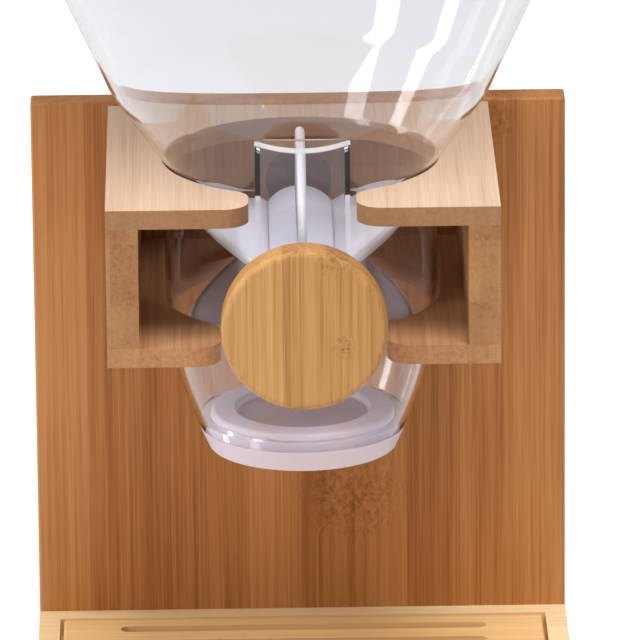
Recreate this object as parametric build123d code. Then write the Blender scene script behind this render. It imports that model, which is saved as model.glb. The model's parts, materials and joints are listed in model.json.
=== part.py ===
from build123d import *
from math import asin, degrees, hypot, radians, tan
import os

# Countertop cereal dispenser: a clear hopper with a hand-turned paddle rotor,
# standing in a bamboo bracket over a slotted crumb tray.
# Millimetres. +X right, -Y the knob side, +Z up. The origin is on the floor,
# under the hopper's upright axis.

# ---- stand ----
width = 190.0             # board and base, across
board_t = 12.0            # back board thickness
board_rise = 191.0        # back board above the base's top face
base_front = 95.0         # hopper's axis to the front of the base
foot_t = 2.5
foot_r = 6.0
foot_inset = 14.0
foot_round = 0.6
floor_t = 8.0
rail_h = 9.5              # rails stand on the floor panel
rail_w = 7.5              # side and front rails
back_rail_w = 8.4
ledge_h = 3.0             # ledges carry the crumb tray
ledge_w = 6.0
tray_gap = 1.3
tray_slots = 9
slot_w = 6.0
slot_end = 20.5           # solid wood left at each end of a slot
slot_first = 10.6         # tray's edge to the first slot's centre
edge_round = 1.0          # eased wooden edges

# ---- shelf that carries the hopper ----
shelf_drop = 1.0          # board's top to the shelf's top face
shelf_back = 15.6         # wood behind the seat hole
shelf_side = 19.0         # wood beside the seat hole
shelf_lip = 16.3          # wood in front of the seat hole
shelf_t = 6.7             # top and bottom plates
shelf_h = 56.1            # outside height of the shelf box
wall_t = 11.0             # side walls
seat_gap = 0.8            # neck to the edge of its hole
slot_gap = 2.3            # shaft channel to each side of the top slot
bottom_slot_w = 57.0
horn_round = 9.0
recess_r = 12.0           # round blind recess in the board, behind the rotor
recess_deep = 5.0

# ---- hopper ----
hopper_r = 93.0
hopper_rise = 175.0       # rim above the shelf
neck_r = 47.6
hopper_wall = 1.7
neck_to_seat = 0.4        # the neck stops short of the shelf's top face
neck_below_axis = 7.3     # straight part of the neck below the shaft
shoulder_out = 18.4       # shoulder beyond the neck
shoulder_rise = 25.6      # shoulder above the shelf
cone_angle = 24.4         # of the upper cone, from upright
crown_round = 140.0
shoulder_round = 30.0
seat_round = 6.0
outlet_r = 36.4
outlet_below_wheel = 14.8
outlet_ring_t = 3.8       # thick ring at the outlet
outlet_ring_h = 3.5
rim_bead = 1.2
rim_bead_h = 4.0
channel_w = 32.4          # flat-fronted channel round the shaft
channel_out = 13.4        # channel's front face beyond the neck
channel_wall = 1.8
channel_front_t = 2.4
channel_rise = 23.5       # straight top of the channel's front wall, above the shelf

# ---- rotor ----
axis_drop = 36.7          # shaft below the shelf's top face
vanes = 6
vane_t = 3.2
vane_set = 0.5            # vane stops short of the hub's end
vane_round = 0.8
rotor_gap = 0.4           # wheel to the neck's inner wall
hub_r = 13.8
hub_round = 1.0
root_deep = 3.0           # vane's root in the hub
hex_r = 3.6               # drive section of the shaft, centre to corner
shaft_r = 4.0
tail_r = 3.0
tail_len = 4.0
tail_play = 0.5
run_gap = 0.06            # shaft in its bushes
boss_r = 8.0
boss_len = 3.9            # rear boss inside the neck
boss_gap = 0.8            # hub's end to the rear boss
bush_t = 2.0
bush_flange_r = 9.0
bush_flange_t = 1.4
bush_lip = 1.0
knob_r = 28.4
knob_t = 13.0
knob_gap = 9.7            # shelf's front to the back of the knob
knob_round = 2.6
insert_r = 5.0
insert_len = 9.0
stud_r = 2.5

# ---- cap and lid ----
cap_h = 7.6
cap_foot_r = 32.9
cap_gap = 0.3
plug_rise = 5.6           # plug above the outlet's lower edge
plug_round = 1.6
cap_skin = 2.2
dish_r = 24.0             # shallow dish in the plug's top
dish_deep = 2.5
dish_round = 1.5
lid_r = 95.0
lid_t = 12.0
lid_plug_t = 9.0
lid_plug_gap = 3.4        # plug to the hopper's inner wall
lid_gap = 0.3
lid_round = 2.5
seal_core_r = 2.4

# ---- fasteners ----
screw_r = 1.6
screw_head_r = 2.9
shelf_screw_len = 36.0
shelf_screw_spread = 11.0
base_screw_len = 32.0
base_screw_inset = 26.0
lid_screw_len = 15.0
lid_screw_ring = 55.0

# ---- places that follow from the sizes ----
hole_r = neck_r + seat_gap
base_top = foot_t + floor_t + rail_h
board_front = hole_r + shelf_back
board_back = board_front + board_t
board_top = base_top + board_rise
shelf_w = 2 * (hole_r + shelf_side)
shelf_front = -hole_r - shelf_lip
shelf_top = board_top - shelf_drop
shelf_bottom = shelf_top - shelf_h
shelf_mid = (shelf_top + shelf_bottom) / 2
axis_z = shelf_top - axis_drop
neck_in_r = neck_r - hopper_wall
neck_top = shelf_top - neck_to_seat
neck_bottom = axis_z - neck_below_axis
shoulder_r = neck_r + shoulder_out
shoulder_z = shelf_top + shoulder_rise
rim_z = shelf_top + hopper_rise
wheel_r = neck_in_r - rotor_gap
outlet_z = axis_z - wheel_r - outlet_below_wheel
outlet_bore_r = outlet_r - outlet_ring_t
channel_front = -neck_r - channel_out
channel_inner = channel_front + channel_front_t
boss_face = neck_in_r - boss_len
hub_end = boss_face - boss_gap
vane_half = hub_end - vane_set
knob_back = min(shelf_front, channel_front - bush_lip) - knob_gap
lid_z = rim_z + lid_gap
lid_plug_z = rim_z - lid_plug_t
seal_ring_r = hopper_r - hopper_wall - lid_gap - seal_core_r


def block(x0, x1, y0, y1, z0, z1):
    """Solid box between two corners."""
    return Pos((x0 + x1) / 2, (y0 + y1) / 2, (z0 + z1) / 2) * Box(x1 - x0, y1 - y0, z1 - z0)


def along_y(radius, y0, y1, x=0.0, z=0.0):
    """Cylinder whose axis runs along Y."""
    return Pos(x, (y0 + y1) / 2, z) * Rot(90, 0, 0) * Cylinder(radius, abs(y1 - y0))


def upright(radius, z0, z1, x=0.0, y=0.0):
    """Upright cylinder."""
    return Pos(x, y, (z0 + z1) / 2) * Cylinder(radius, z1 - z0)


def ring(outer, inner, z0, z1):
    """Upright tube."""
    return upright(outer, z0, z1) - upright(inner, z0, z1)


def eased(solid, size=edge_round):
    """Round every edge of a plain piece."""
    return fillet(solid.edges(), size)


def countersunk_screw(length):
    """Screw pointing along +Z from its flat head at z = 0."""
    sink = screw_head_r - screw_r
    head = Pos(0, 0, sink / 2) * Cone(screw_head_r, screw_r, sink)
    shank = upright(screw_r, 0, length - 2 * screw_r)
    tip = Pos(0, 0, length - screw_r) * Cone(screw_r, screw_r / 4, 2 * screw_r)
    return head + shank + tip


def board_screws(places, length):
    """Screws driven forwards through the board."""
    screw = Rot(90, 0, 0) * countersunk_screw(length)
    return [Pos(x, board_back, z) * screw for x, z in places]


def shelf_screws():
    """Two screws into the rear end of each side wall, from behind the board."""
    x = (shelf_w - wall_t) / 2
    places = [(sx * x, shelf_mid + sz * shelf_screw_spread) for sx in (-1, 1) for sz in (-1, 1)]
    return board_screws(places, shelf_screw_len)


def base_screws():
    """Three screws into the rear edge of the floor panel, from behind the board."""
    pitch = width / 2 - base_screw_inset
    places = [(n * pitch, foot_t + floor_t / 2) for n in (-1, 0, 1)]
    return board_screws(places, base_screw_len)


def lid_screws():
    """Screws up through the lid's plug into the disc."""
    screw = countersunk_screw(lid_screw_len)
    turns = [45 + 90 * n for n in range(4)]
    return [Rot(0, 0, turn) * Pos(lid_screw_ring, 0, lid_plug_z) * screw for turn in turns]


def without(solid, others):
    """The solid with room cut for the others."""
    for other in others:
        solid -= other
    return solid


# ---- stand ----

def back_board():
    body = eased(block(-width / 2, width / 2, board_front, board_back, foot_t, board_top))
    body -= along_y(recess_r, board_front - 1, board_front + recess_deep, z=shelf_mid)
    return without(body, shelf_screws() + base_screws())


def base_floor():
    body = block(-width / 2, width / 2, -base_front, board_front, foot_t, foot_t + floor_t)
    return without(body, base_screws())


def base_rails():
    """Four rails standing on the floor panel."""
    z0, z1 = foot_t + floor_t, base_top
    half = width / 2
    inner = half - rail_w
    return {
        "base_rail_left": block(-half, -inner, -base_front, board_front, z0, z1),
        "base_rail_right": block(inner, half, -base_front, board_front, z0, z1),
        "base_rail_front": block(-inner, inner, -base_front, -base_front + rail_w, z0, z1),
        "base_rail_back": block(-inner, inner, board_front - back_rail_w, board_front, z0, z1),
    }


def base_ledges():
    """Strips along the side rails that carry the crumb tray."""
    z0 = foot_t + floor_t
    inner = width / 2 - rail_w
    y0, y1 = -base_front + rail_w, board_front - back_rail_w
    right = block(inner - ledge_w, inner, y0, y1, z0, z0 + ledge_h)
    return {"base_ledge_right": right, "base_ledge_left": mirror(right, about=Plane.YZ)}


def crumb_tray():
    half = width / 2 - rail_w - tray_gap
    y0 = -base_front + rail_w + tray_gap
    y1 = board_front - back_rail_w - tray_gap
    z0 = foot_t + floor_t + ledge_h
    body = eased(block(-half, half, y0, y1, z0, base_top))
    pitch = (y1 - y0 - 2 * slot_first) / (tray_slots - 1)
    slot = Pos(0, 0, z0 - 1) * extrude(SlotOverall(2 * (half - slot_end), slot_w), amount=base_top - z0 + 2)
    for n in range(tray_slots):
        body -= Pos(0, y0 + slot_first + n * pitch, 0) * slot
    return body


def rubber_feet():
    x = width / 2 - foot_inset
    rows = (-base_front + foot_inset, board_front - foot_inset)
    foot = upright(foot_r, 0, foot_t)
    foot = fillet(foot.edges().group_by(Axis.Z)[0], foot_round)
    return [Pos(sx * x, y, 0) * foot for sx in (-1, 1) for y in rows]


# ---- shelf ----

def shelf_plate(z0, slot_width):
    """Plate with the round seat and the slot that opens it to the front."""
    outline = Pos(0, (shelf_front + board_front) / 2) * Rectangle(shelf_w, board_front - shelf_front)
    outline -= Circle(hole_r)
    outline -= Pos(0, shelf_front) * Rectangle(slot_width, -shelf_front * 2)
    horns = [v for v in outline.vertices() if abs(abs(v.X) - slot_width / 2) < 0.01]
    outline = fillet(horns, horn_round)
    return Pos(0, 0, z0) * extrude(outline, amount=shelf_t)


def shelf_walls():
    right = block(shelf_w / 2 - wall_t, shelf_w / 2, shelf_front, board_front,
                  shelf_bottom + shelf_t, shelf_top - shelf_t)
    left = mirror(right, about=Plane.YZ)
    return {
        "shelf_wall_right": without(right, shelf_screws()),
        "shelf_wall_left": without(left, shelf_screws()),
    }


# ---- hopper ----

def hopper_profile(inset, bottom_z):
    """Half section of the hopper's outside, or of its inside when inset by the wall."""
    cone_top = shoulder_z + (hopper_r - shoulder_r) / tan(radians(cone_angle))
    drop = neck_bottom - outlet_z
    taper = neck_r - outlet_r
    bowl_r = (drop ** 2 + taper ** 2) / (2 * taper)
    bowl_sweep = degrees(asin((neck_bottom - bottom_z) / bowl_r))
    bowl = CenterArc((neck_r - inset - bowl_r, neck_bottom), bowl_r, 0, -bowl_sweep)
    side = Polyline(
        (neck_r - inset, neck_bottom),
        (neck_r - inset, neck_top),
        (shoulder_r - inset, shoulder_z),
        (hopper_r - inset, cone_top),
        (hopper_r - inset, rim_z),
    )
    low = bowl @ 1
    closing = Polyline((hopper_r - inset, rim_z), (0, rim_z), (0, bottom_z), (low.X, low.Y))
    section = make_face(bowl + side + closing)
    rounds = [(neck_top, seat_round), (shoulder_z, shoulder_round), (cone_top, crown_round)]
    for height, radius in rounds:
        corner = [v for v in section.vertices() if abs(v.Y - height) < 0.01 and v.X > 1]
        section = fillet(corner, radius)
    return section


def turned(section):
    """Solid of revolution about the upright axis."""
    return revolve(Plane.XZ * section, Axis.Z)


def shaft_channel(half_w, front):
    """Flat-fronted channel, round below the shaft, that runs up into the cone."""
    cone_slope = (shoulder_r - neck_r) / (shoulder_z - neck_top)
    corner_r = hypot(channel_front, channel_w / 2)
    top_z = neck_top + (corner_r - neck_r) / cone_slope + channel_wall / 2
    section = Pos(0, axis_z) * Circle(half_w)
    section += Pos(0, (axis_z + top_z) / 2) * Rectangle(2 * half_w, top_z - axis_z)
    return extrude(Plane.XZ * section, amount=-front)


def hopper():
    outside = turned(hopper_profile(0, outlet_z))
    outside += shaft_channel(channel_w / 2, channel_front)
    outside += ring(hopper_r + rim_bead, hopper_r - hopper_wall / 2, rim_z - rim_bead_h, rim_z)
    inside = turned(hopper_profile(hopper_wall, outlet_z + outlet_ring_h))
    inside += shaft_channel(channel_w / 2 - channel_wall, channel_inner)
    half_w = channel_w / 2
    wall_top = shelf_top + channel_rise
    body = outside - inside + block(-half_w, half_w, channel_front, channel_inner, axis_z, wall_top)
    body -= upright(outlet_bore_r, outlet_z - 1, outlet_z + outlet_ring_h + 1)
    body += along_y(boss_r, boss_face, neck_in_r + hopper_wall / 2, z=axis_z)
    body -= along_y(tail_r + bush_t, boss_face - 1, boss_face + tail_len, z=axis_z)
    body -= along_y(shaft_r + bush_t, channel_front - 1, channel_inner + 1, z=axis_z)
    return body


def front_bush():
    """Flanged sleeve in the channel's front wall; the flange is inside."""
    outer_end = channel_front - bush_lip
    inner_end = channel_inner + bush_flange_t
    body = along_y(shaft_r + bush_t, outer_end, channel_inner, z=axis_z)
    body += along_y(bush_flange_r, channel_inner, inner_end, z=axis_z)
    return body - along_y(shaft_r + run_gap, outer_end - 1, inner_end + 1, z=axis_z)


def rear_bush():
    """Sleeve in the blind boss on the rear wall."""
    end = boss_face + tail_len
    body = along_y(tail_r + bush_t, boss_face, end, z=axis_z)
    return body - along_y(tail_r + run_gap, boss_face - 1, end + 1, z=axis_z)


# ---- rotor ----

def hex_drive():
    """Six-sided bar through the hub."""
    return Pos(0, hub_end, axis_z) * extrude(Plane.XZ * RegularPolygon(hex_r, 6), amount=2 * hub_end)


def shaft():
    """Shaft with a six-sided drive through the hub and a stud into the knob."""
    journal = along_y(shaft_r, knob_back, -hub_end, z=axis_z)
    tail = along_y(tail_r, hub_end, boss_face + tail_len - tail_play, z=axis_z)
    stud = along_y(stud_r, knob_back - insert_len, knob_back, z=axis_z)
    return hex_drive() + journal + tail + stud


def vane(turn):
    """Paddle with a round outline, which clears the round neck at every turn."""
    root = hub_r - root_deep
    outline = Circle(wheel_r) & Pos(0, root + wheel_r / 2) * Rectangle(2 * vane_half, wheel_r)
    blade = extrude(Plane.YZ * outline, amount=vane_t / 2, both=True)
    tips = [e for e in blade.edges() if abs(e.center().X) > vane_t / 4 and e.center().Z > hub_r]
    blade = fillet(tips, vane_round)
    return Pos(0, 0, axis_z) * Rot(0, turn, 0) * blade


def rotor_vanes():
    """Paddles evenly round the hub, the first one upright."""
    return {f"rotor_vane_{n + 1}": vane(n * 360 / vanes) for n in range(vanes)}


def rotor_hub():
    body = along_y(hub_r, -hub_end, hub_end, z=axis_z)
    body = fillet(body.edges(), hub_round)
    body -= hex_drive()
    return without(body, rotor_vanes().values())


def knob_insert():
    end = knob_back - insert_len
    return along_y(insert_r, end, knob_back, z=axis_z) - along_y(stud_r, end - 1, knob_back + 1, z=axis_z)


def knob():
    body = along_y(knob_r, knob_back - knob_t, knob_back, z=axis_z)
    body = fillet(body.edges(), knob_round)
    return body - along_y(insert_r, knob_back - insert_len, knob_back + 1, z=axis_z)


# ---- outlet cap and lid ----

def outlet_cap():
    """Push-in cap: a tapered band and a plug, dished on top and hollow below."""
    top = outlet_z - cap_gap
    foot = top - cap_h
    plug_r = outlet_bore_r - cap_gap
    plug_z = outlet_z + plug_rise
    dish_z = plug_z - dish_deep
    band = Pos(0, 0, (top + foot) / 2) * Cone(cap_foot_r, outlet_r, cap_h)
    plug = upright(plug_r, foot, plug_z)
    plug = fillet(plug.edges().group_by(Axis.Z)[-1], plug_round)
    dish = upright(dish_r, dish_z, plug_z + dish_round)
    dish = fillet(dish.edges().group_by(Axis.Z)[0], dish_round)
    grip = upright(plug_r - cap_skin, foot - 1, dish_z - cap_skin)
    return band + plug - dish - grip


def lid_disc():
    body = fillet(upright(lid_r, lid_z, lid_z + lid_t).edges(), lid_round)
    return without(body, lid_screws())


def lid_plug():
    body = upright(hopper_r - hopper_wall - lid_plug_gap, lid_plug_z, lid_z)
    return without(body, lid_screws() + [lid_seal()])


def lid_seal():
    """Round-section ring in the plug's groove."""
    return Pos(0, 0, (lid_plug_z + lid_z) / 2) * Torus(seal_ring_r, seal_core_r)


def all_parts():
    """Every piece by name; a list is a group of separate solids."""
    parts = {
        "back_board": back_board(),
        "base_floor": base_floor(),
        "crumb_tray": crumb_tray(),
        "rubber_feet": rubber_feet(),
        "shelf_top_plate": shelf_plate(shelf_top - shelf_t, channel_w + 2 * slot_gap),
        "shelf_bottom_plate": shelf_plate(shelf_bottom, bottom_slot_w),
        "shelf_screws": shelf_screws(),
        "base_screws": base_screws(),
        "hopper": hopper(),
        "front_bush": front_bush(),
        "rear_bush": rear_bush(),
        "shaft": shaft(),
        "rotor_hub": rotor_hub(),
        "knob": knob(),
        "knob_insert": knob_insert(),
        "outlet_cap": outlet_cap(),
        "lid_disc": lid_disc(),
        "lid_plug": lid_plug(),
        "lid_seal": lid_seal(),
        "lid_screws": lid_screws(),
    }
    return parts | base_rails() | base_ledges() | shelf_walls() | rotor_vanes()


os.makedirs("parts", exist_ok=True)
for name, piece in all_parts().items():
    solids = piece if isinstance(piece, list) else piece.solids()
    shape = solids[0] if len(solids) == 1 else Compound(children=list(solids))
    export_step(shape, f"parts/{name}.step")
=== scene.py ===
import json
from math import cos, pi, radians, sin, sqrt, tan

import bpy
from mathutils import Matrix, Vector


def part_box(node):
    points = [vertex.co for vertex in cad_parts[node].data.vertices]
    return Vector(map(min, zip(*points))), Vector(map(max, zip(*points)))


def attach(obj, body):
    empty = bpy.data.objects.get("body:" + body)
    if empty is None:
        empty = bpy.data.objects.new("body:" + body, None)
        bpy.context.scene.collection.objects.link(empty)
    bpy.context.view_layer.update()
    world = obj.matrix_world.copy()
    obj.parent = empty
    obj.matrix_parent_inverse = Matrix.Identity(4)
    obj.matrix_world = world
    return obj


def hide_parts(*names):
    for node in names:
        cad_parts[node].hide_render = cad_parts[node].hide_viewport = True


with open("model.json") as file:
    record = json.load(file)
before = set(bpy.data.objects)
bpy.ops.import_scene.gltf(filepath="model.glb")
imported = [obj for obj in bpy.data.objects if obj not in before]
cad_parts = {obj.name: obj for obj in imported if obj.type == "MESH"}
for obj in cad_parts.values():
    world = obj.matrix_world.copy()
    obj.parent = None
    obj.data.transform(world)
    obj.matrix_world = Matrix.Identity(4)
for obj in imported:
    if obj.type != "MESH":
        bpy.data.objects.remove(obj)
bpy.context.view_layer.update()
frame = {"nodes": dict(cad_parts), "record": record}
scene = bpy.context.scene
nodes = frame["nodes"]

MM = 0.001


# ---------------------------------------------------------------- node tools

class Tree:
    """Adds nodes to one node tree and joins them up."""

    def __init__(self, tree):
        self.tree = tree

    def put(self, socket, value):
        if isinstance(value, bpy.types.NodeSocket):
            self.tree.links.new(value, socket)
        else:
            socket.default_value = value

    def add(self, kind, inputs=None, **settings):
        node = self.tree.nodes.new(kind)
        for key, value in settings.items():
            setattr(node, key, value)
        for key, value in (inputs or {}).items():
            self.put(node.inputs[key], value)
        return node

    def math(self, operation, a, b=0.0, c=0.0, clamp=False):
        node = self.add("ShaderNodeMath", {0: a, 1: b, 2: c}, operation=operation, use_clamp=clamp)
        return node.outputs[0]

    def hypot(self, a, b):
        squares = self.math("ADD", self.math("POWER", a, 2.0), self.math("POWER", b, 2.0))
        return self.math("SQRT", squares)

    def mix(self, share, a, b, blend="MIX"):
        node = self.add("ShaderNodeMix", {0: share, 6: a, 7: b}, data_type="RGBA", blend_type=blend)
        return node.outputs[2]

    def fit(self, value, low, high, new_low=0.0, new_high=1.0, smooth=False):
        kind = "SMOOTHSTEP" if smooth else "LINEAR"
        node = self.add("ShaderNodeMapRange", {0: value, 1: low, 2: high, 3: new_low, 4: new_high},
                        interpolation_type=kind)
        return node.outputs[0]

    def noise(self, vector, scale=1.0, detail=2.0, roughness=0.5, w=None):
        size = "3D" if w is None else "4D"
        inputs = {"Vector": vector, "Scale": scale, "Detail": detail, "Roughness": roughness}
        if w is not None:
            inputs["W"] = w
        return self.add("ShaderNodeTexNoise", inputs, noise_dimensions=size).outputs["Fac"]

    def split(self, vector):
        return self.add("ShaderNodeSeparateXYZ", {0: vector}).outputs

    def join(self, x, y, z):
        return self.add("ShaderNodeCombineXYZ", {0: x, 1: y, 2: z}).outputs[0]

    def scaled(self, vector, by):
        node = self.add("ShaderNodeVectorMath", {0: vector, 1: by}, operation="MULTIPLY")
        return node.outputs[0]

    def moved(self, shape, by, turn=(0.0, 0.0, 0.0), scale=(1.0, 1.0, 1.0)):
        inputs = {"Geometry": shape, "Translation": by, "Rotation": turn, "Scale": scale}
        return self.add("GeometryNodeTransform", inputs).outputs[0]

    def group(self, tree, inputs):
        node = self.add("ShaderNodeGroup", node_tree=tree)
        for key, value in inputs.items():
            self.put(node.inputs[key], value)
        return node.outputs


def new_group(name, inputs, outputs):
    """Shader node group; inputs are (name, socket kind, value), outputs are (name, socket kind)."""
    tree = bpy.data.node_groups.new(name, "ShaderNodeTree")
    for label, kind, value in inputs:
        socket = tree.interface.new_socket(label, in_out="INPUT", socket_type=kind)
        if value is not None:
            socket.default_value = value
    for label, kind in outputs:
        tree.interface.new_socket(label, in_out="OUTPUT", socket_type=kind)
    build = Tree(tree)
    return tree, build, build.add("NodeGroupInput").outputs, build.add("NodeGroupOutput")


def new_material(name):
    """Empty material: its tree, its object coordinates and its output node."""
    material = bpy.data.materials.new(name)
    material.use_nodes = True
    material.node_tree.nodes.clear()
    build = Tree(material.node_tree)
    place = build.add("ShaderNodeTexCoord").outputs["Object"]
    return material, build, place, build.add("ShaderNodeOutputMaterial")


def rgb(red, green, blue):
    """Linear colour with alpha from an sRGB one of 0 to 255."""
    def linear(level):
        level /= 255
        return level / 12.92 if level <= 0.04045 else ((level + 0.055) / 1.055) ** 2.4
    return (linear(red), linear(green), linear(blue), 1.0)


# ---------------------------------------------------------------- bamboo

def make_bamboo_group():
    """Glued bamboo strips: fibres, tone from strip to strip, glue lines and the knotty nodes."""
    tree, t, given, out = new_group("bamboo strips", [
        ("Place", "NodeSocketVector", None),      # X across the strips, Y through them, Z along the grain
        ("Light", "NodeSocketColor", rgb(214, 160, 104)),
        ("Mid", "NodeSocketColor", rgb(190, 132, 78)),
        ("Dark", "NodeSocketColor", rgb(120, 70, 34)),
        ("Strip", "NodeSocketFloat", 7.0),        # strip width in mm
        ("Fibre", "NodeSocketFloat", 1.0),        # strength of the fine lines
        ("Strip tone", "NodeSocketFloat", 0.3),   # difference from strip to strip
        ("Band", "NodeSocketFloat", 0.2),         # strength of the wide soft bands
        ("Knot 1", "NodeSocketVector", (9999, 0, 0)),
        ("Knot 2", "NodeSocketVector", (9999, 0, 0)),
        ("Knot size", "NodeSocketFloat", 9.0),    # half height of a knotty node in mm
        ("Seed", "NodeSocketFloat", 0.0),
    ], [
        ("Color", "NodeSocketColor"),
        ("Roughness", "NodeSocketFloat"),
        ("Height", "NodeSocketFloat"),
    ])
    mm = t.scaled(given["Place"], (1000, 1000, 1000))
    across, through, along = t.split(mm)

    # knotty nodes: a patch where the fibres wander and break up
    patch = None
    for label, wide in (("Knot 1", 1.0), ("Knot 2", 1.6)):
        away = t.add("ShaderNodeVectorMath", {0: mm, 1: given[label]}, operation="SUBTRACT").outputs[0]
        near = t.scaled(away, (1.0 / wide, 0.0, 1.0 / wide))
        reach = t.add("ShaderNodeVectorMath", {0: near}, operation="LENGTH").outputs["Value"]
        here = t.fit(t.math("DIVIDE", reach, given["Knot size"]), 1.0, 0.15, smooth=True)
        patch = here if patch is None else t.math("MAXIMUM", patch, here)
    wander = t.noise(t.scaled(mm, (0.16, 0.16, 0.22)), detail=3.0, roughness=0.6)
    wander = t.math("MULTIPLY", t.math("SUBTRACT", wander, 0.5), patch)
    across_bent = t.math("ADD", across, t.math("MULTIPLY", wander, 26.0))

    # strips and their own tone
    cell = t.math("DIVIDE", across, given["Strip"])
    strip = t.math("FLOOR", cell)
    key = t.join(strip, given["Seed"], t.math("FLOOR", t.math("DIVIDE", through, 22.0)))
    white = t.add("ShaderNodeTexWhiteNoise", {"Vector": key}, noise_dimensions="3D")
    tone = white.outputs["Value"]
    shift = t.math("MULTIPLY", tone, 400.0)
    seam = t.math("ABSOLUTE", t.math("SUBTRACT", t.math("FRACT", cell), 0.5))
    seam = t.fit(seam, 0.47, 0.5, smooth=True)

    # fibres: long thin streaks at three sizes
    along_shift = t.math("ADD", along, shift)
    along_hair = t.math("ADD", along_shift, t.math("MULTIPLY", wander, 420.0))
    hair = t.noise(t.join(t.math("MULTIPLY", across_bent, 1.9), t.math("MULTIPLY", through, 1.9),
                          t.math("MULTIPLY", along_hair, 0.022)), detail=4.0, roughness=0.6)
    streak = t.noise(t.join(t.math("MULTIPLY", across_bent, 0.55), t.math("MULTIPLY", through, 0.55),
                            t.math("MULTIPLY", along_shift, 0.007)), detail=2.0)
    band = t.noise(t.join(t.math("MULTIPLY", across, 0.06), t.math("MULTIPLY", through, 0.06),
                          t.math("MULTIPLY", along, 0.004)), detail=1.0, w=given["Seed"])
    hair = t.fit(hair, 0.36, 0.72)
    streak = t.fit(streak, 0.38, 0.74)
    band = t.fit(band, 0.32, 0.68, -0.5, 0.5)
    fleck = t.noise(t.scaled(mm, (0.55, 0.55, 0.40)), detail=4.0, roughness=0.65)
    fleck = t.math("MULTIPLY", t.fit(fleck, 0.47, 0.62), patch)

    share = t.math("MULTIPLY", hair, 0.34)
    share = t.math("ADD", share, t.math("MULTIPLY", streak, 0.30))
    share = t.math("MULTIPLY", share, given["Fibre"])
    share = t.math("ADD", share, t.math("MULTIPLY", t.math("SUBTRACT", tone, 0.5), given["Strip tone"]))
    share = t.math("ADD", share, t.math("MULTIPLY", band, given["Band"]))
    share = t.math("ADD", share, t.math("MULTIPLY", fleck, 0.34))
    share = t.math("ADD", share, 0.10, clamp=True)
    colour = t.mix(t.fit(share, 0.0, 0.50), given["Light"], given["Mid"])
    colour = t.mix(t.fit(share, 0.46, 1.05), colour, given["Dark"])
    colour = t.mix(t.math("MULTIPLY", seam, 0.16), colour, given["Dark"])
    t.put(out.inputs["Color"], colour)
    t.put(out.inputs["Roughness"], t.fit(share, 0.0, 1.0, 0.46, 0.62))
    height = t.math("SUBTRACT", 1.0, t.math("MULTIPLY", hair, given["Fibre"]))
    t.put(out.inputs["Height"], t.math("SUBTRACT", height, t.math("MULTIPLY", seam, 0.8)))
    return tree


def make_end_group():
    """Cut ends of bamboo: dots of the fibre bundles, denser towards each strip's skin side."""
    tree, t, given, out = new_group("bamboo end grain", [
        ("Place", "NodeSocketVector", None),
        ("Color", "NodeSocketColor", rgb(190, 140, 90)),
        ("Dark", "NodeSocketColor", rgb(110, 64, 32)),
        ("Amount", "NodeSocketFloat", 1.0),
    ], [
        ("Color", "NodeSocketColor"),
        ("Height", "NodeSocketFloat"),
    ])
    mm = t.scaled(given["Place"], (1000, 1000, 1000))
    dots = t.add("ShaderNodeTexVoronoi", {"Vector": mm, "Scale": 1.15, "Randomness": 1.0}).outputs["Distance"]
    dots = t.fit(dots, 0.34, 0.16, smooth=True)
    uneven = t.fit(t.noise(t.scaled(mm, (0.25, 0.25, 0.25)), detail=2.0), 0.35, 0.65)
    amount = t.math("MULTIPLY", t.math("MULTIPLY", dots, uneven), given["Amount"])
    t.put(out.inputs["Color"], t.mix(t.math("MULTIPLY", amount, 0.55), given["Color"], given["Dark"]))
    t.put(out.inputs["Height"], amount)
    return tree


BAMBOO = make_bamboo_group()
END_GRAIN = make_end_group()


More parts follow.
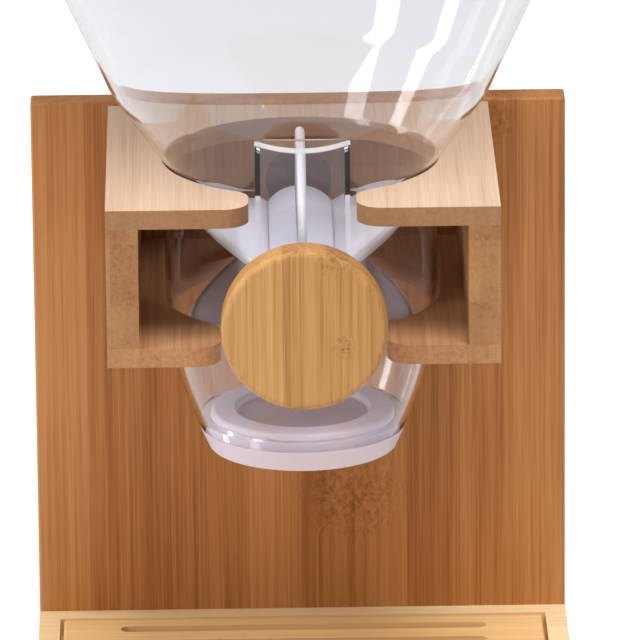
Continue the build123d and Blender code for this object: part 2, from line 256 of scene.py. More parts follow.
def bamboo(name, grain, light, mid, dark, strip=7.0, fibre=1.0, tone=0.3, band=0.2, knots=(), knot=9.0,
           seed=0.0, ends=0.6, edge_shade=None, recess=None):
    """Bamboo whose strips lie across grain[0], stack through grain[1] and run along grain[2].

    edge_shade is painted shade multiplied onto the faces that don't look through the stack; recess is the
    middle, radius and half depth in mm of a blind hole cut along y, darkened inside with painted shade.
    """
    material, t, place, out = new_material(name)
    axes = dict(zip("xyz", t.split(place)))
    turned = t.join(*(axes[axis] for axis in grain))
    given = {"Place": turned, "Light": light, "Mid": mid, "Dark": dark, "Strip": strip, "Fibre": fibre,
             "Strip tone": tone, "Band": band, "Knot size": knot, "Seed": seed}
    for number, spot in enumerate(knots, 1):
        given[f"Knot {number}"] = spot
    wood = t.group(BAMBOO, given)
    facing = dict(zip("xyz", t.split(t.add("ShaderNodeNewGeometry").outputs["True Normal"])))
    cut = t.fit(t.math("ABSOLUTE", facing[grain[2]]), 0.75, 0.95)
    end = t.group(END_GRAIN, {"Place": place, "Color": wood["Color"], "Dark": dark, "Amount": cut})
    bump = t.add("ShaderNodeBump", {"Strength": 0.22, "Distance": 0.00012, "Height": wood["Height"]})
    colour = t.mix(ends, wood["Color"], end["Color"])
    # painted shade: faces that don't look through the stack, such as the plates' front edges, are multiplied
    # darker to stand in for less light falling on them than on the tops
    if edge_shade:
        flat = t.fit(t.math("ABSOLUTE", facing[grain[1]]), 0.3, 0.8)
        colour = t.mix(t.math("SUBTRACT", 1.0, flat), colour, t.mix(1.0, colour, edge_shade, "MULTIPLY"))
    # painted shade: the inside of the blind hole is multiplied darker and browner to stand in for the shade
    # that falls in it
    if recess:
        middle, radius, half_deep = recess
        away = t.add("ShaderNodeVectorMath", {0: place, 1: Vector(middle) * MM}, operation="SUBTRACT")
        away = t.split(away.outputs[0])
        inside = t.math("LESS_THAN", t.hypot(away[0], away[2]), radius * MM)
        inside = t.math("MULTIPLY", inside, t.math("LESS_THAN", t.math("ABSOLUTE", away[1]), half_deep * MM))
        colour = t.mix(inside, colour, t.mix(1.0, colour, (0.60, 0.34, 0.20, 1), "MULTIPLY"))
    surface = t.add("ShaderNodeBsdfPrincipled", {
        "Base Color": colour, "Roughness": wood["Roughness"],
        "Normal": bump.outputs[0], "Specular IOR Level": 0.35, "Coat Weight": 0.06, "Coat Roughness": 0.4})
    t.put(out.inputs["Surface"], surface.outputs[0])
    return material


# ---------------------------------------------------------------- plastics, silicone, metal, rubber

def make_speckle_group():
    """Faint dust and uneven moulding: a slow tint, fine grain and a few scuffs."""
    tree, t, given, out = new_group("moulding marks", [
        ("Place", "NodeSocketVector", None),
        ("Grain", "NodeSocketFloat", 1.0),
    ], [
        ("Tint", "NodeSocketFloat"),
        ("Fine", "NodeSocketFloat"),
        ("Scuff", "NodeSocketFloat"),
    ])
    tint = t.noise(given["Place"], scale=18.0, detail=2.0)
    fine = t.noise(given["Place"], t.math("MULTIPLY", given["Grain"], 1400.0), detail=3.0, roughness=0.6)
    scuff = t.noise(t.scaled(given["Place"], (90.0, 90.0, 900.0)), scale=1.0, detail=4.0, roughness=0.65)
    t.put(out.inputs["Tint"], tint)
    t.put(out.inputs["Fine"], fine)
    t.put(out.inputs["Scuff"], t.fit(scuff, 0.62, 0.80))
    return tree


MARKS = make_speckle_group()


def moulded(name, colour, deep, roughness, bump=0.1, grain=1.0, dish_shade=None, **sockets):
    """Opaque or milky moulded piece; dish_shade is the height and radius in mm of a dished face darkened with
    painted shade.
    """
    material, t, place, out = new_material(name)
    marks = t.group(MARKS, {"Place": place, "Grain": grain})
    rough = t.math("ADD", t.fit(marks["Fine"], 0.3, 0.7, roughness - 0.04, roughness + 0.04),
                   t.math("MULTIPLY", marks["Scuff"], 0.08))
    relief = t.add("ShaderNodeBump", {"Strength": bump, "Distance": 0.00005, "Height": marks["Fine"]})
    tint = t.mix(t.fit(marks["Tint"], 0.3, 0.7), colour, deep)
    # painted shade: the dished face is multiplied darker to stand in for the shadow the rotor casts into it
    if dish_shade:
        height, radius = dish_shade
        x, y, z = t.split(place)
        inside = t.fit(t.hypot(x, y), radius * MM, (radius - 1.5) * MM, smooth=True)
        low = t.math("LESS_THAN", t.math("ABSOLUTE", t.math("SUBTRACT", z, height * MM)), 1.2 * MM)
        darker = t.mix(1.0, tint, (0.66, 0.50, 0.50, 1), "MULTIPLY")
        tint = t.mix(t.math("MULTIPLY", inside, low), tint, darker)
    surface = t.add("ShaderNodeBsdfPrincipled", {
        "Base Color": tint, "Roughness": rough, "Normal": relief.outputs[0]})
    for key, value in sockets.items():
        surface.inputs[key.replace("_", " ")].default_value = value
    t.put(out.inputs["Surface"], surface.outputs[0])
    return material


def clear_plastic(name):
    """Polished clear moulding that lets lamps through to what is inside it."""
    material, t, place, out = new_material(name)
    marks = t.group(MARKS, {"Place": place, "Grain": 0.4})
    glass = t.add("ShaderNodeBsdfPrincipled", {
        "Base Color": t.mix(marks["Tint"], (0.985, 0.980, 0.990, 1), (0.965, 0.958, 0.975, 1)),
        "Roughness": t.fit(marks["Scuff"], 0.0, 1.0, 0.012, 0.06),
        "IOR": 1.49, "Transmission Weight": 1.0})
    through = t.add("ShaderNodeBsdfTransparent", {"Color": (0.985, 0.985, 0.99, 1)})
    ray = t.add("ShaderNodeLightPath").outputs
    lamp = t.math("MAXIMUM", ray["Is Shadow Ray"], ray["Is Diffuse Ray"])
    surface = t.add("ShaderNodeMixShader", {0: lamp, 1: glass.outputs[0], 2: through.outputs[0]})
    t.put(out.inputs["Surface"], surface.outputs[0])
    return material


def metal(name, colour, roughness, direction):
    """Turned or plated metal with fine lines across one direction."""
    material, t, place, out = new_material(name)
    lines = t.noise(t.scaled(place, direction), detail=3.0, roughness=0.7)
    marks = t.group(MARKS, {"Place": place})
    relief = t.add("ShaderNodeBump", {"Strength": 0.15, "Distance": 0.00003, "Height": lines})
    surface = t.add("ShaderNodeBsdfPrincipled", {
        "Base Color": t.mix(t.fit(marks["Tint"], 0.3, 0.7), colour, [0.8 * c for c in colour[:3]] + [1]),
        "Roughness": t.fit(lines, 0.3, 0.7, roughness - 0.06, roughness + 0.08),
        "Metallic": 1.0, "Normal": relief.outputs[0]})
    t.put(out.inputs["Surface"], surface.outputs[0])
    return material


# ---------------------------------------------------------------- materials of this dispenser

shelf_mid = (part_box("shelf_top_plate")[1].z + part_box("shelf_bottom_plate")[0].z) / 2 / MM
knob_mid = (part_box("knob")[0].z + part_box("knob")[1].z) / 2 / MM
materials = {
    # board: the round blind hole behind the hopper is darkened with painted shade
    "bamboo_board": bamboo("bamboo board", "xyz", rgb(198, 138, 80), rgb(170, 108, 52), rgb(108, 56, 20),
                           strip=19.0, fibre=1.0, tone=0.26, band=0.3, seed=3,
                           knots=((64, 0, shelf_mid + 20), (18, 0, shelf_mid - 118)), knot=15.0,
                           recess=((0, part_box("back_board")[0].y / MM + 2.7, shelf_mid), 12.2, 2.5)),
    "bamboo_base": bamboo("bamboo base", "yzx", rgb(255, 234, 188), rgb(250, 208, 148), rgb(192, 134, 82),
                          strip=8.0, fibre=0.8, tone=0.2, seed=5),
    "bamboo_tray": bamboo("bamboo tray", "yzx", rgb(255, 219, 158), rgb(243, 195, 130), rgb(180, 119, 64),
                          strip=9.0, fibre=0.9, tone=0.25, seed=8),
    # shelf plates: the edge tint below is painted shade on their front edges
    "bamboo_shelf": bamboo("bamboo shelf plate", "xzy",
                           rgb(224, 195, 170), rgb(204, 170, 140), rgb(158, 114, 82),
                           strip=7.0, fibre=0.9, tone=0.12, band=0.08, seed=11, ends=0.0,
                           edge_shade=(0.52, 0.37, 0.23, 1)),
    "bamboo_wall": bamboo("bamboo shelf wall", "xzy", rgb(180, 130, 82), rgb(154, 104, 62), rgb(92, 52, 26),
                          strip=5.5, fibre=0.8, tone=0.3, seed=17, ends=0.45),
    "bamboo_knob": bamboo("bamboo knob", "xyz", rgb(204, 156, 94), rgb(180, 128, 70), rgb(110, 64, 28),
                          strip=7.5, fibre=1.1, tone=0.34, seed=23,
                          knots=((13.4, 0, knob_mid - 5.6), (9, 0, knob_mid + 27)), knot=5.5),
    "bamboo_lid": bamboo("bamboo lid", "xzy", rgb(226, 180, 128), rgb(206, 156, 102), rgb(150, 96, 52),
                         strip=12.0, fibre=0.9, tone=0.25, seed=29),
    "clear_plastic": clear_plastic("clear hopper plastic"),
    "white_plastic": moulded("white rotor plastic", rgb(242, 245, 255), rgb(232, 235, 250), 0.38),
    "vane_silicone": moulded("milky silicone", rgb(242, 243, 255), rgb(228, 229, 250), 0.34,
                             Subsurface_Weight=0.5, Subsurface_Scale=0.006, Subsurface_Radius=(1.0, 0.9, 1.1),
                             Sheen_Weight=0.15),
    # cap: its dished top gets painted shade through the dish setting
    "cap_plastic": moulded("white cap plastic", rgb(228, 220, 232), rgb(212, 202, 216), 0.36,
                           dish_shade=(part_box("outlet_cap")[1].z / MM - 2.5, 24.0),
                           Subsurface_Weight=0.15, Subsurface_Scale=0.004),
    "seal_silicone": moulded("seal silicone", rgb(228, 228, 232), rgb(212, 212, 220), 0.45,
                             Subsurface_Weight=0.3, Subsurface_Scale=0.003),
    "shaft_steel": metal("shaft steel", rgb(190, 190, 194), 0.28, (400, 4000, 400)),
    "screw_steel": metal("screw steel", rgb(178, 178, 182), 0.34, (3000, 300, 3000)),
    "insert_brass": metal("insert brass", rgb(212, 176, 104), 0.32, (400, 4000, 400)),
    "foot_rubber": moulded("foot rubber", rgb(44, 44, 44), rgb(32, 32, 32), 0.7, bump=0.3),
}
# darker copy of the shelf plate material for the bottom plate: painted shade for the inside of the shelf box,
# with painted shade on its edges through the edge tint too
shaded_shelf = bamboo("bamboo lower plate painted shade", "xzy", rgb(196, 150, 110), rgb(170, 120, 80), rgb(120, 76, 46),
                      strip=7.0, fibre=0.9, tone=0.15, band=0.1, seed=12, ends=0.0,
                      edge_shade=(0.95, 0.86, 0.72, 1))
for part in frame["record"]["subparts"]:
    piece = nodes[part["node"]]
    piece.data.materials.clear()
    piece.data.materials.append(materials[part["material_slot"]])
# the bottom plate takes the painted-shade copy
nodes["shelf_bottom_plate"].data.materials[0] = shaded_shelf


# ---------------------------------------------------------------- repeated pieces

def new_shape(name, inputs):
    """Geometry node tree with its inputs, and the tools to fill it."""
    tree = bpy.data.node_groups.new(name, "GeometryNodeTree")
    for label, kind in inputs:
        tree.interface.new_socket(label, in_out="INPUT", socket_type=kind)
    tree.interface.new_socket("Geometry", in_out="OUTPUT", socket_type="NodeSocketGeometry")
    build = Tree(tree)
    return tree, build, build.add("NodeGroupInput").outputs, build.add("NodeGroupOutput")


def grown(name, tree, values, body, replaced, start=None):
    """Plain mesh piece from a geometry node tree, riding on a body in place of CAD nodes."""
    mesh = start or bpy.data.meshes.new(name + "_start")
    piece = bpy.data.objects.new(name, mesh)
    scene.collection.objects.link(piece)
    modifier = piece.modifiers.new("shape", "NODES")
    modifier.node_group = tree
    for socket in tree.interface.items_tree:
        if socket.in_out == "INPUT" and socket.name in values:
            modifier[socket.identifier] = values[socket.name]
    bpy.context.view_layer.update()
    seen = piece.evaluated_get(bpy.context.evaluated_depsgraph_get())
    made = bpy.data.meshes.new_from_object(seen)
    piece.modifiers.remove(modifier)
    piece.data = made
    made.name = name
    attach(piece, body)
    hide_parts(*replaced)
    return piece


def smooth_and_finish(t, shape, given, out, angle=0.6):
    """Smooth faces, crisp edges, then one material."""
    soft = t.add("GeometryNodeSetShadeSmooth", {"Geometry": shape, "Shade Smooth": True})
    turn = t.add("GeometryNodeInputMeshEdgeAngle").outputs["Unsigned Angle"]
    sharp = t.add("FunctionNodeCompare", {0: turn, 1: angle}, operation="GREATER_THAN").outputs[0]
    crisp = t.add("GeometryNodeSetShadeSmooth", {"Geometry": soft.outputs[0], "Selection": sharp,
                                                 "Shade Smooth": False}, domain="EDGE")
    real = t.add("GeometryNodeRealizeInstances", {"Geometry": crisp.outputs[0]})
    done = t.add("GeometryNodeSetMaterial", {"Geometry": real.outputs[0], "Material": given["Material"]})
    t.put(out.inputs["Geometry"], done.outputs[0])


def paddle_tree():
    """Paddles round a hub: a thin web with a round outline and a thicker soft rim."""
    tree, t, given, out = new_shape("paddles", [
        ("Radius", "NodeSocketFloat"), ("Root", "NodeSocketFloat"), ("Half length", "NodeSocketFloat"),
        ("Web", "NodeSocketFloat"), ("Rim", "NodeSocketFloat"), ("Count", "NodeSocketInt"),
        ("Axis height", "NodeSocketFloat"), ("Material", "NodeSocketMaterial")])
    inset = t.math("DIVIDE", given["Rim"], 2.0)
    radius = t.math("SUBTRACT", given["Radius"], inset)
    half = t.math("SUBTRACT", given["Half length"], inset)
    grid = t.add("GeometryNodeMeshGrid", {"Size X": 1.0, "Size Y": 1.0, "Vertices X": 73, "Vertices Y": 13})
    spot = t.split(t.add("GeometryNodeInputPosition").outputs[0])
    along = t.math("MULTIPLY", t.math("MULTIPLY", spot[0], 2.0), half)
    squares = t.math("SUBTRACT", t.math("MULTIPLY", radius, radius), t.math("MULTIPLY", along, along))
    reach = t.math("SQRT", squares)
    share = t.math("ADD", spot[1], 0.5)
    out_by = t.math("MULTIPLY", share, t.math("SUBTRACT", reach, given["Root"]))
    place = t.join(0.0, along, t.math("ADD", given["Root"], out_by))
    sheet = t.add("GeometryNodeSetPosition", {"Geometry": grid.outputs[0], "Position": place}).outputs[0]

    # web: the sheet given a thickness on both sides of its plane
    thick = t.join(given["Web"], 0.0, 0.0)
    raised = t.add("GeometryNodeExtrudeMesh", {"Mesh": sheet, "Offset": thick, "Offset Scale": 1.0,
                                               "Individual": False}).outputs[0]
    back = t.add("GeometryNodeFlipFaces", {"Mesh": sheet}).outputs[0]
    web = t.add("GeometryNodeJoinGeometry")
    for shape in (raised, back):
        t.tree.links.new(shape, web.inputs[0])
    web = t.add("GeometryNodeMergeByDistance", {"Geometry": web.outputs[0], "Distance": 0.00001}).outputs[0]
    centred = t.join(t.math("MULTIPLY", given["Web"], -0.5), 0.0, 0.0)
    web = t.moved(web, centred)

    # rim: a round bead along the sheet's outline
    faces = t.add("GeometryNodeInputMeshEdgeNeighbors").outputs[0]
    border = t.add("FunctionNodeCompare", {2: faces, 3: 1}, data_type="INT", operation="EQUAL").outputs[0]
    path = t.add("GeometryNodeMeshToCurve", {"Mesh": sheet, "Selection": border}).outputs[0]
    bead = t.add("GeometryNodeCurvePrimitiveCircle", {"Resolution": 14, "Radius": inset}).outputs[0]
    rim = t.add("GeometryNodeCurveToMesh", {"Curve": path, "Profile Curve": bead,
                                            "Fill Caps": True}).outputs[0]

    blade = t.add("GeometryNodeJoinGeometry")
    for shape in (rim, web):
        t.tree.links.new(shape, blade.inputs[0])
    spots = t.add("GeometryNodePoints", {"Count": given["Count"]}).outputs[0]
    number = t.add("GeometryNodeInputIndex").outputs[0]
    turn = t.math("DIVIDE", t.math("MULTIPLY", number, 2 * pi), given["Count"])
    wheel = t.add("GeometryNodeInstanceOnPoints", {"Points": spots, "Instance": blade.outputs[0],
                                                   "Rotation": t.join(0.0, turn, 0.0)}).outputs[0]
    wheel = t.add("GeometryNodeRealizeInstances", {"Geometry": wheel}).outputs[0]
    wheel = t.moved(wheel, t.join(0.0, 0.0, given["Axis height"]))
    smooth_and_finish(t, wheel, given, out)
    return tree


def screw_tree():
    """Countersunk screws with a cross recess, one at each point of the start mesh, all one way up."""
    tree, t, given, out = new_shape("cross head screws", [
        ("Geometry", "NodeSocketGeometry"), ("Head radius", "NodeSocketFloat"),
        ("Shank radius", "NodeSocketFloat"), ("Length", "NodeSocketFloat"),
        ("Cross", "NodeSocketFloat"), ("Turn", "NodeSocketVector"),
        ("Material", "NodeSocketMaterial")])
    sink = t.math("SUBTRACT", given["Head radius"], given["Shank radius"])
    head = t.add("GeometryNodeMeshCone", {"Vertices": 32, "Radius Top": given["Shank radius"],
                                          "Radius Bottom": given["Head radius"], "Depth": sink}).outputs[0]
    # four-armed recess, narrower towards its bottom
    arm = t.add("GeometryNodeMeshCone", {
        "Vertices": 4, "Radius Top": t.math("MULTIPLY", given["Cross"], 0.55),
        "Radius Bottom": given["Cross"], "Depth": t.math("MULTIPLY", sink, 1.2)}).outputs[0]
    flat = t.moved(arm, t.join(0.0, 0.0, t.math("MULTIPLY", sink, -0.3)), scale=(1.0, 0.22, 1.0))
    crossed = t.moved(flat, (0.0, 0.0, 0.0), turn=(0.0, 0.0, pi / 2))
    for tool in (flat, crossed):
        cut = t.add("GeometryNodeMeshBoolean", {"Mesh 1": head}, operation="DIFFERENCE", solver="EXACT")
        t.tree.links.new(tool, cut.inputs["Mesh 2"])
        head = cut.outputs[0]
    rest = t.math("SUBTRACT", given["Length"], sink)
    shank = t.add("GeometryNodeMeshCone", {
        "Vertices": 24, "Radius Top": t.math("MULTIPLY", given["Shank radius"], 0.3),
        "Radius Bottom": t.math("MULTIPLY", given["Shank radius"], 0.98), "Depth": rest}).outputs[0]
    shank = t.moved(shank, t.join(0.0, 0.0, sink))
    screw = t.add("GeometryNodeJoinGeometry")
    for shape in (shank, head):
        t.tree.links.new(shape, screw.inputs[0])
    spots = t.add("GeometryNodeMeshToPoints", {"Mesh": given["Geometry"]}).outputs[0]
    number = t.add("GeometryNodeInputIndex").outputs[0]
    slew = t.add("FunctionNodeRandomValue", {"Min": 0.0, "Max": pi / 2, "ID": number, "Seed": 4},
                 data_type="FLOAT").outputs[1]
    turned = t.add("FunctionNodeEulerToRotation", {0: given["Turn"]}).outputs[0]
    slewed = t.add("FunctionNodeEulerToRotation", {0: t.join(0.0, 0.0, slew)}).outputs[0]
    spun = t.add("FunctionNodeRotateRotation", {0: turned, 1: slewed}, rotation_space="LOCAL").outputs[0]
    screws = t.add("GeometryNodeInstanceOnPoints", {"Points": spots, "Instance": screw.outputs[0],
                                                    "Rotation": spun}).outputs[0]
    screws = t.add("GeometryNodeRealizeInstances", {"Geometry": screws}).outputs[0]
    smooth_and_finish(t, screws, given, out)
    return tree


def screw_places(node, axis, sign):
    """Middle of each screw head of a CAD node, on the head's flat face, as a mesh of points."""
    low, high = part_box(node)
    level = high[axis] if sign > 0 else low[axis]
    heads = []
    for vertex in nodes[node].data.vertices:
        if abs(vertex.co[axis] - level) < 0.02 * MM:
            for head in heads:
                if (head[0] - vertex.co).length < 7 * MM:
                    head.append(vertex.co.copy())
                    break
            else:
                heads.append([vertex.co.copy()])
    middles = []
    for head in heads:
        low, high = ([limit(co[n] for co in head) for n in range(3)] for limit in (min, max))
        middles.append([(a + b) / 2 for a, b in zip(low, high)])
    mesh = bpy.data.meshes.new(node + "_places")
    mesh.from_pydata(middles, [], [])
    return mesh


# ---------------------------------------------------------------- clear hopper

# the CAD hopper's own sizes, in mm
NECK, SHOULDER, BOWL, OUTLET = 47.6, 66.0, 93.0, 36.4       # outside radii
WALL, RING, RING_HIGH, BEAD, BEAD_HIGH = 1.7, 3.8, 3.5, 1.2, 4
OUTLET_Z, NECK_LOW, NECK_TOP, SHOULDER_Z, CONE_TOP, RIM_Z = 113.0, 166.0, 209.6, 235.6, 295.12, 385.0
NECK_ROUND, SHOULDER_ROUND, CONE_ROUND = 6, 30, 140
CHANNEL_HALF, CHANNEL_WALL, CHANNEL_TOP, PANEL_TOP = 16.2, 1.8, 232.4, 233.5
CHANNEL_FRONT, CHANNEL_INNER = -61.0, -58.6
BOSS, BOSS_LONG, TAIL_BORE, TAIL_DEEP, SHAFT_BORE = 8, 4.6, 5, 4.0, 6
PANEL_INSET = 0.03        # keeps the panel's faces off the channel's
BOWL_STEPS, SIDES = 24, 48


def rounded(points, steps=14):
    """Points of an open line whose corners (x, z, radius) are rounded."""
    made = []
    for number, (x, z, radius) in enumerate(points):
        here = Vector((x, z))
        if not radius:
            made.append(here)
            continue
        before = (Vector(points[number - 1][:2]) - here).normalized()
        after = (Vector(points[number + 1][:2]) - here).normalized()
        half = before.angle(after) / 2
        middle = here + (before + after).normalized() * radius / sin(half)
        start = here + before * radius / tan(half) - middle
        sweep = start.angle_signed(here + after * radius / tan(half) - middle)
        made += [middle + Matrix.Rotation(-sweep * n / steps, 2) @ start for n in range(steps + 1)]
    return made


def hopper_side(inset, bottom):
    """Side of the hopper from the outlet up, outside or inset by the wall."""
    taper, drop = NECK - OUTLET, NECK_LOW - OUTLET_Z
    bend = (drop ** 2 + taper ** 2) / (2 * taper)
    low = [Vector((NECK - inset - bend + sqrt(bend ** 2 - (NECK_LOW - z) ** 2), z))
           for z in (bottom + (NECK_LOW - bottom) * n / BOWL_STEPS for n in range(BOWL_STEPS))]
    return low + rounded([
        (NECK - inset, NECK_LOW, 0), (NECK - inset, NECK_TOP, NECK_ROUND),
        (SHOULDER - inset, SHOULDER_Z, SHOULDER_ROUND), (BOWL - inset, CONE_TOP, CONE_ROUND),
        (BOWL - inset, RIM_Z, 0)])


def line_mesh(name, points):
    """Points of a section as a mesh: radius along X, height along Z, from mm."""
    mesh = bpy.data.meshes.new(name)
    mesh.from_pydata([(point[0] * MM, 0, point[1] * MM) for point in points], [], [])
    return mesh


def hopper_tree():
    """Turned shell with its flat-fronted shaft channel, bearings bored through."""
    tree, t, given, out = new_shape("clear hopper", [
        ("Geometry", "NodeSocketGeometry"), ("Section", "NodeSocketObject"), ("Cavity", "NodeSocketObject"),
        ("Segments", "NodeSocketInt"), ("Axis height", "NodeSocketFloat"),
        ("Channel half", "NodeSocketFloat"), ("Channel wall", "NodeSocketFloat"),
        ("Channel front", "NodeSocketFloat"), ("Channel inner", "NodeSocketFloat"),
        ("Channel top", "NodeSocketFloat"), ("Panel top", "NodeSocketFloat"),
        ("Rear face", "NodeSocketFloat"), ("Material", "NodeSocketMaterial")])

    def turned(section):
        """Section points swept round the upright axis."""
        points = t.add("GeometryNodeObjectInfo", {"Object": section}).outputs["Geometry"]
        count = t.add("GeometryNodeAttributeDomainSize", {"Geometry": points}).outputs["Point Count"]
        across = t.math("ADD", given["Segments"], 1.0)
        grid = t.add("GeometryNodeMeshGrid", {"Vertices X": across, "Vertices Y": count}).outputs[0]
        index = t.add("GeometryNodeInputIndex").outputs[0]
        column = t.math("FLOOR", t.math("DIVIDE", t.math("ADD", index, 0.5), count))
        row = t.math("SUBTRACT", index, t.math("MULTIPLY", column, count))
        place = t.add("GeometryNodeInputPosition").outputs[0]
        spot = t.split(t.add("GeometryNodeSampleIndex", {"Geometry": points, "Value": place, "Index": row},
                             data_type="FLOAT_VECTOR").outputs[0])
        turn = t.math("DIVIDE", t.math("MULTIPLY", column, 2 * pi), given["Segments"])
        swept = t.join(t.math("MULTIPLY", spot[0], t.math("COSINE", turn)),
                       t.math("MULTIPLY", spot[0], t.math("SINE", turn)), spot[2])
        shape = t.add("GeometryNodeSetPosition", {"Geometry": grid, "Position": swept}).outputs[0]
        return t.add("GeometryNodeMergeByDistance", {"Geometry": shape, "Distance": 0.000002}).outputs[0]

    def boolean(operation, first, second):
        node = t.add("GeometryNodeMeshBoolean", operation=operation, solver="EXACT")
        if operation == "DIFFERENCE":
            t.put(node.inputs["Mesh 1"], first)
        else:
            t.tree.links.new(first, node.inputs["Mesh 2"])
        t.tree.links.new(second, node.inputs["Mesh 2"])
        return node.outputs[0]

    def halfway(a, b):
        return t.math("MULTIPLY", t.math("ADD", a, b), 0.5)

    def bar(radius, start, end):
        """Round bar along Y between two places, about the shaft."""
        length = t.math("ABSOLUTE", t.math("SUBTRACT", end, start))
        tube = t.add("GeometryNodeMeshCylinder", {"Vertices": SIDES, "Radius": radius, "Depth": length})
        middle = t.join(0.0, halfway(start, end), given["Axis height"])
        return t.moved(tube.outputs[0], middle, turn=(pi / 2, 0.0, 0.0))

    def block(half, y0, y1, z0, z1):
        """Block that is as wide to the left as to the right."""
        size = t.join(t.math("MULTIPLY", half, 2.0), t.math("SUBTRACT", y1, y0), t.math("SUBTRACT", z1, z0))
        made = t.add("GeometryNodeMeshCube", {"Size": size}).outputs[0]
        return t.moved(made, t.join(0.0, halfway(y0, y1), halfway(z0, z1)))

    def channel(half, front):
        """Channel block from the middle to its front: round below the shaft, straight above."""
        tube = t.add("GeometryNodeMeshCylinder", {"Vertices": 2 * SIDES, "Radius": half,
                                                  "Depth": t.math("MULTIPLY", front, -1.0)}).outputs[0]
        spot = t.split(t.add("GeometryNodeInputPosition").outputs[0])
        above = t.math("GREATER_THAN", spot[1], 0.02 * MM)
        wide = t.math("MINIMUM", t.math("ABSOLUTE", t.math("MULTIPLY", spot[0], 1.02)), half)
        wide = t.math("MULTIPLY", wide, t.math("SIGN", spot[0]))
        high = t.math("SUBTRACT", given["Channel top"], given["Axis height"])
        tall = t.add("GeometryNodeSetPosition", {"Geometry": tube, "Selection": above,
                                                 "Position": t.join(wide, high, spot[2])}).outputs[0]
        middle = t.join(0.0, t.math("MULTIPLY", front, 0.5), given["Axis height"])
        return t.moved(tall, middle, turn=(pi / 2, 0.0, 0.0))

    inner_half = t.math("SUBTRACT", given["Channel half"], given["Channel wall"])
    body = boolean("UNION", turned(given["Section"]), channel(given["Channel half"], given["Channel front"]))
    hollow = boolean("UNION", turned(given["Cavity"]), channel(inner_half, given["Channel inner"]))
    body = boolean("DIFFERENCE", body, hollow)
    inset = PANEL_INSET * MM
    panel_front = t.math("ADD", given["Channel front"], inset)
    panel_back = t.math("SUBTRACT", given["Channel inner"], inset)
    panel = block(t.math("SUBTRACT", given["Channel half"], inset), panel_front, panel_back,
                  given["Axis height"], given["Panel top"])
    body = boolean("UNION", body, panel)
    rear = given["Rear face"]
    body = boolean("UNION", body, bar(BOSS * MM, rear, t.math("ADD", rear, BOSS_LONG * MM)))
    body = boolean("DIFFERENCE", body, bar(TAIL_BORE * MM, t.math("SUBTRACT", rear, MM),
                                           t.math("ADD", rear, TAIL_DEEP * MM)))
    body = boolean("DIFFERENCE", body, bar(SHAFT_BORE * MM, t.math("SUBTRACT", given["Channel front"], MM),
                                           t.math("ADD", given["Channel inner"], MM)))
    smooth_and_finish(t, body, given, out, angle=0.45)
    return tree


outside = hopper_side(0, OUTLET_Z)
inside = hopper_side(WALL, OUTLET_Z + RING_HIGH)
bore = OUTLET - RING
bead_low, bead_r = RIM_Z - BEAD_HIGH, BOWL + BEAD
bead = [Vector((BOWL, bead_low)), Vector((bead_r, bead_low)), Vector((bead_r, RIM_Z))]
section = [Vector((0, OUTLET_Z))] + outside[:-1] + bead + [Vector((0, RIM_Z))]
throat = [Vector((0, OUTLET_Z - 1)), Vector((bore, OUTLET_Z - 1)), Vector((bore, OUTLET_Z + RING_HIGH))]
cavity = throat + inside[:-1] + [Vector((inside[-1].x, RIM_Z + 1)), Vector((0, RIM_Z + 1))]
sources = {}
for label, points in (("Section", section), ("Cavity", cavity)):
    sources[label] = bpy.data.objects.new(label, line_mesh(label, points))
bush_low, bush_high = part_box("rear_bush")
hopper_axis = (bush_low.z + bush_high.z) / 2
grown("clear_hopper", hopper_tree(), {
    **sources, "Segments": 180, "Axis height": hopper_axis,
    "Channel half": CHANNEL_HALF * MM, "Channel wall": CHANNEL_WALL * MM, "Channel front": CHANNEL_FRONT * MM,
    "Channel inner": CHANNEL_INNER * MM, "Channel top": CHANNEL_TOP * MM, "Panel top": PANEL_TOP * MM,
    "Rear face": bush_low.y, "Material": materials["clear_plastic"],
}, "hopper_unit", ["hopper"])
for source in sources.values():
    bpy.data.objects.remove(source)

vane_low, vane_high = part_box("rotor_vane_1")
hub_low, hub_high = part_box("rotor_hub")
axis_height = (hub_low.z + hub_high.z) / 2
vane_names = sorted(name for name in nodes if name.startswith("rotor_vane_"))
vane_web, vane_sunk = 2.4, 1.0       # thin part of a paddle, and its root's depth in the hub, in mm
grown("silicone_paddles", paddle_tree(), {
    "Radius": vane_high.z - axis_height, "Root": (hub_high.z - hub_low.z) / 2 - vane_sunk * MM,
    "Half length": vane_high.y, "Web": vane_web * MM, "Rim": vane_high.x - vane_low.x,
    "Count": len(vane_names), "Axis height": axis_height, "Material": materials["vane_silicone"],
}, "rotor", vane_names)

SCREWS = screw_tree()
head_r, shank_r, cross_r = 2.9, 1.6, 1.7       # screw head, shank and cross recess, in mm
for node, body, axis, sign, length, turn in (
        ("shelf_screws", "stand", 1, 1, 36, (pi / 2, 0, 0)),
        ("base_screws", "stand", 1, 1, 32, (pi / 2, 0, 0)),
        ("lid_screws", "lid", 2, -1, 15, (0, 0, 0))):
    grown(node.replace("screws", "cross_screws"), SCREWS, {
        "Head radius": head_r * MM, "Shank radius": shank_r * MM, "Length": length * MM,
        "Cross": cross_r * MM, "Turn": turn, "Material": materials["screw_steel"],
    }, body, [node], screw_places(node, axis, sign))


# ---------------------------------------------------------------- floor, light and camera

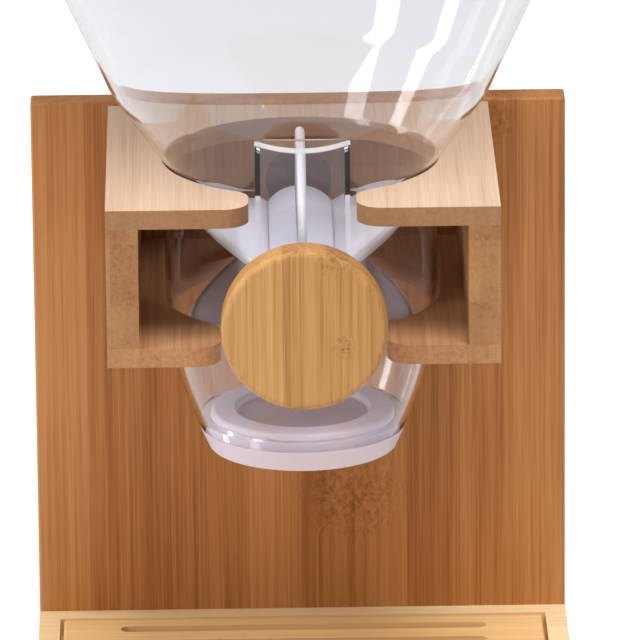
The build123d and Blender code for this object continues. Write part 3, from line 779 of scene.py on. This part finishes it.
def make_floor():
    """Wide pale floor under the feet."""
    size = 30.0
    mesh = bpy.data.meshes.new("floor")
    corners = [(-size, -size, 0), (size, -size, 0), (size, size, 0), (-size, size, 0)]
    mesh.from_pydata([(x, y, z - 0.0002) for x, y, z in corners], [], [(0, 1, 2, 3)])
    floor = bpy.data.objects.new("floor", mesh)
    scene.collection.objects.link(floor)
    material, t, place, out = new_material("pale floor")
    speck = t.noise(place, scale=220.0, detail=3.0)
    ray = t.add("ShaderNodeLightPath").outputs
    away = t.add("ShaderNodeVectorMath", {0: place}, operation="LENGTH").outputs["Value"]
    glow = t.math("ADD", t.math("MULTIPLY", ray["Is Camera Ray"], t.fit(away, 0.5, 3.0, 0.4, 1.0)),
                  t.math("MULTIPLY", ray["Is Transmission Ray"], t.fit(away, 1.5, 4.0, 0.03, 0.5)))
    surface = t.add("ShaderNodeBsdfPrincipled", {
        "Base Color": t.mix(speck, (0.80, 0.80, 0.81, 1), (0.83, 0.83, 0.84, 1)),
        "Roughness": 0.6, "Specular IOR Level": 0.1,
        "Emission Color": (1, 1, 1, 1), "Emission Strength": glow})
    t.put(out.inputs["Surface"], surface.outputs[0])
    mesh.materials.append(material)


def softbox(name, azimuth, elevation, distance, size, power):
    """Area lamp aimed at the shelf; azimuth 0 stands before the knob, 90 to its right."""
    lamp = bpy.data.lights.new(name, "AREA")
    lamp.shape = "RECTANGLE"
    lamp.size, lamp.size_y = size
    lamp.energy = power
    holder = bpy.data.objects.new(name, lamp)
    turn, rise = radians(azimuth), radians(elevation)
    away = Vector((sin(turn) * cos(rise), -cos(turn) * cos(rise), sin(rise)))
    holder.location = Vector((0, 0, 0.2)) + away * distance
    holder.rotation_mode = "QUATERNION"
    holder.rotation_quaternion = away.to_track_quat("Z", "Y")
    scene.collection.objects.link(holder)


def make_world():
    """Pale room: near white where it is seen, dimmer as a light, and brighter above than below."""
    world = bpy.data.worlds.new("studio")
    world.use_nodes = True
    world.node_tree.nodes.clear()
    t = Tree(world.node_tree)
    out = t.add("ShaderNodeOutputWorld")
    rise = t.split(t.add("ShaderNodeTexCoord").outputs["Generated"])[2]
    level = t.fit(rise, -0.2, 0.9, 0.26, 0.46)
    ray = t.add("ShaderNodeLightPath").outputs
    seen = t.math("MAXIMUM", ray["Is Camera Ray"], t.math("MULTIPLY", ray["Is Transmission Ray"], 0.85))
    strength = t.math("MAXIMUM", level, seen)
    sky = t.add("ShaderNodeBackground", {"Color": (0.97, 0.98, 1.0, 1), "Strength": strength})
    t.put(out.inputs["Surface"], sky.outputs[0])
    scene.world = world


def make_camera():
    """Long lens, a little above the shelf, looking slightly down."""
    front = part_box("back_board")[0].y
    base_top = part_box("base_rail_back")[1].z
    yaw, pitch, roll = radians(0.7765), radians(17.678), radians(-0.513)
    target = Vector((0.00721, front, base_top + 0.10922))
    distance = 2.9642
    forward = Vector((sin(yaw) * cos(pitch), cos(yaw) * cos(pitch), -sin(pitch)))
    right = forward.cross(Vector((0, 0, 1))).normalized()
    up = right.cross(forward)
    side = right * cos(roll) + up * sin(roll)
    top = up * cos(roll) - right * sin(roll)
    camera = bpy.data.cameras.new("camera")
    camera.sensor_width = 36.0
    camera.lens = 465.8
    camera.clip_start, camera.clip_end = 0.1, 100.0
    holder = bpy.data.objects.new("camera", camera)
    turn = Matrix((side, top, -forward)).transposed()
    holder.matrix_world = Matrix.Translation(target - forward * distance) @ turn.to_4x4()
    scene.collection.objects.link(holder)
    scene.camera = holder


make_floor()
make_world()
softbox("key", 18, 66, 2.4, (1.1, 1.1), 49)
softbox("left strip", -58, 30, 2.2, (0.5, 2.2), 17)
softbox("side strip", -100, 24, 2.2, (0.35, 2.0), 15)
make_camera()
scene.view_settings.view_transform = "Standard"
